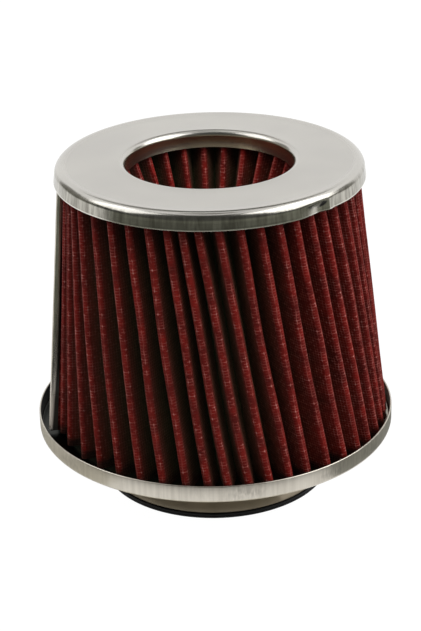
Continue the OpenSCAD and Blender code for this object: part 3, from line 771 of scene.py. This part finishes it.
# Top cap: a ring pressed from one sheet of steel, rolled down outside into a skirt and inside into
# a collar, and held by the potting under it. A blow has dented the skirt at the front right.
cap_low, cap_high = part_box("top_cap")
cap_sheet = 0.6 * mm
hole_r = 34 * mm
skirt_r = 62.36 * mm
skirt_foot_r = 62.86 * mm
outer_roll = 3.4 * mm
inner_roll = 2.4 * mm
collar_foot_z = cap_high.z - 7 * mm
collar_edge_z = collar_foot_z + 2.3 * mm
collar_edge_in = 0.5 * mm
outer_roll_r, outer_roll_z = skirt_r - outer_roll, cap_high.z - outer_roll
inner_roll_r, inner_roll_z = hole_r + inner_roll, cap_high.z - inner_roll
face_sunk = 0.12 * mm
edge_round = 0.25 * mm
bead_width = 1.6 * mm
face_edge_r = outer_roll_r - bead_width
face_z = cap_high.z - face_sunk
cap_outside = (
    [(hole_r - collar_edge_in, collar_foot_z), (hole_r, collar_edge_z)]
    + bend(inner_roll_r, inner_roll_z, inner_roll, 180, 90, 12)
    + [(inner_roll_r + bead_width * 0.5, face_z + face_sunk * 0.5), (inner_roll_r + bead_width, face_z)]
    + [(inner_roll_r + (outer_roll_r - inner_roll_r) * share, face_z) for share in (0.3, 0.5, 0.7)]
    + [(face_edge_r, face_z), (face_edge_r + bead_width * 0.5, face_z + face_sunk * 0.5)]
    + bend(outer_roll_r, outer_roll_z, outer_roll, 90, 0, 14)
    + [(skirt_r + (skirt_foot_r - skirt_r) * share,
        outer_roll_z + (cap_low.z - outer_roll_z) * share) for share in (0.2, 0.4, 0.6, 0.8)]
    + bend(skirt_foot_r - edge_round, cap_low.z + edge_round, edge_round, 0, -90, 4)
)
cap_inside = (
    [(skirt_foot_r - cap_sheet + (skirt_r - skirt_foot_r) * share,
      cap_low.z + (outer_roll_z - cap_low.z) * share) for share in (0, 0.2, 0.4, 0.6, 0.8)]
    + bend(outer_roll_r, outer_roll_z, outer_roll - cap_sheet, 0, 90, 14)
    + bend(inner_roll_r, inner_roll_z, inner_roll - cap_sheet, 90, 180, 12)
    + [(hole_r + cap_sheet, collar_edge_z), (hole_r - collar_edge_in + cap_sheet, collar_foot_z)]
)
cap_steps = 720
cap = turn_section("top_cap_steel", cap_outside + cap_inside, cap_steps)

# A blow pushed the skirt in, and a lighter one beside it: direction in degrees, and depth in mm.
# Both faces of the sheet move together, and nothing above the roll's lower half does
dent_stops = [(303, 0), (303.8, 0.15), (311, 1.35), (312.6, 1.4), (314.6, 0.9), (316.4, 0.2),
              (318, 0.4), (319.5, 0.7), (327, 0.1), (329.5, 0)]
dent_top = outer_roll_z + 1.8 * mm
dent_whole = cap_low.z + 1.5 * mm
for vertex in cap.data.vertices:
    reach = math.hypot(vertex.co.x, vertex.co.y)
    if reach > outer_roll_r - cap_sheet and vertex.co.z < dent_top:
        towards = math.degrees(math.atan2(vertex.co.y, vertex.co.x)) % 360
        share = min(1, (dent_top - vertex.co.z) / (dent_top - dent_whole))
        pushed = np.interp(towards, *zip(*dent_stops)) * mm * share * share * (3 - 2 * share)
        vertex.co.xy *= 1 - pushed / reach

# Pressed steel: a satin face with clouds 29 mm across, rolls that the press tool polished, and a skirt with
# fine upright drawing marks, painted darker than the face as painted shade, and a painted highlight on its
# cut edge. The collar's brown cast is a painted reflection of the red pleats
face_clouds = 0.035 / mm
drawing_marks = 0.65 / mm
face_middle_r = (inner_roll_r + outer_roll_r) / 2
pressed_steel, pressed_tree, pressed = new_material("pressed_satin_steel")
pressed_place = add_node(pressed_tree, "TexCoord").outputs["Object"]
pressed_axes = add_node(pressed_tree, "SeparateXYZ", {0: pressed_place})
pressed_z = pressed_axes.outputs["Z"]
pressed_flat = add_node(pressed_tree, "CombineXYZ", {
    "X": pressed_axes.outputs["X"], "Y": pressed_axes.outputs["Y"]})
pressed_reach = add_node(pressed_tree, "VectorMath", {0: pressed_flat}, operation="LENGTH").outputs["Value"]
face_cloud = add_node(pressed_tree, "TexNoise", {
    "Vector": pressed_place, "Scale": face_clouds, "Detail": 2})
face_shade = add_node(pressed_tree, "ValToRGB", {"Fac": face_cloud.outputs[0]},
                      [(0.3, "#C5C2BC"), (0.7, "#CBC8C1")])
pressed_upright = add_node(pressed_tree, "Mapping", {"Vector": pressed_place, "Scale": press_stretch})
skirt_marks = add_node(pressed_tree, "TexNoise", {
    "Vector": pressed_upright, "Scale": drawing_marks, "Detail": 4})
# Partly painted shade: the skirt is painted darker than the face, for the dark it reflects
skirt_tone_and_shade = add_node(pressed_tree, "ValToRGB", {"Fac": skirt_marks.outputs[0]},
                       [(0.35, "#8E8B82"), (0.65, "#BEBBB1")])
on_skirt = add_node(pressed_tree, "MapRange", {
    "Value": pressed_z, "From Min": outer_roll_z + 2.6 * mm, "From Max": outer_roll_z + 1.1 * mm})
off_hole = add_node(pressed_tree, "Math", {0: pressed_reach, 1: face_middle_r}, operation="GREATER_THAN")
marked = add_node(pressed_tree, "Math", {0: on_skirt, 1: off_hole}, operation="MULTIPLY")
pressed_shade = add_node(pressed_tree, "Mix", {"Factor": marked, "A": face_shade, "B": skirt_tone_and_shade},
                         data_type="RGBA")
# Painted highlight: the skirt's cut edge is painted paler
edge_highlight_mask = add_node(pressed_tree, "MapRange", {
    "Value": pressed_z, "From Min": cap_low.z + 0.7 * mm, "From Max": cap_low.z + 0.3 * mm})
edge_painted_highlight = add_node(pressed_tree, "Mix", {
    "Factor": edge_highlight_mask, "A": pressed_shade.outputs[2], "B": "#DEDBD2"}, data_type="RGBA")
below_roll = add_node(pressed_tree, "MapRange", {
    "Value": pressed_z, "From Min": inner_roll_z + 1.2 * mm, "From Max": inner_roll_z - 0.2 * mm})
at_hole = add_node(pressed_tree, "Math", {0: 1, 1: off_hole}, operation="SUBTRACT")
on_collar = add_node(pressed_tree, "Math", {0: below_roll, 1: at_hole}, operation="MULTIPLY")
at_edge = add_node(pressed_tree, "MapRange", {
    "Value": pressed_z, "From Min": collar_edge_z + 0.3 * mm, "From Max": collar_edge_z - 0.3 * mm})
# Painted reflection: the collar is painted brown for the red pleats it faces, greyer on its turned edge
collar_painted_reflection = add_node(pressed_tree, "Mix", {"Factor": at_edge, "A": "#C8B89C", "B": "#B8B0A2"},
                 data_type="RGBA")
collar_reflected_tone = add_node(pressed_tree, "Mix", {
    "Factor": on_collar, "A": edge_painted_highlight.outputs[2], "B": collar_painted_reflection.outputs[2]}, data_type="RGBA")
pressed_tree.links.new(collar_reflected_tone.outputs[2], pressed.inputs["Base Color"])
pressed.inputs["Metallic"].default_value = 1
on_outer_roll = add_node(pressed_tree, "MapRange", {
    "Value": pressed_reach, "From Min": face_edge_r, "From Max": outer_roll_r})
on_inner_roll = add_node(pressed_tree, "MapRange", {
    "Value": pressed_reach, "From Min": inner_roll_r, "From Max": hole_r})
on_roll = add_node(pressed_tree, "Math", {0: on_outer_roll, 1: on_inner_roll}, operation="MAXIMUM")
roll_gloss = add_node(pressed_tree, "MapRange", {"Value": on_roll, "To Min": 0.3, "To Max": 0.22})
skirt_gloss = add_node(pressed_tree, "Mix", {"Factor": marked, "A": roll_gloss, "B": 0.2})
collar_gloss = add_node(pressed_tree, "Mix", {"Factor": on_collar, "A": skirt_gloss, "B": 0.25})
pressed_tree.links.new(collar_gloss.outputs[0], pressed.inputs["Roughness"])
finish_piece(cap, pressed_steel, "top_cap")
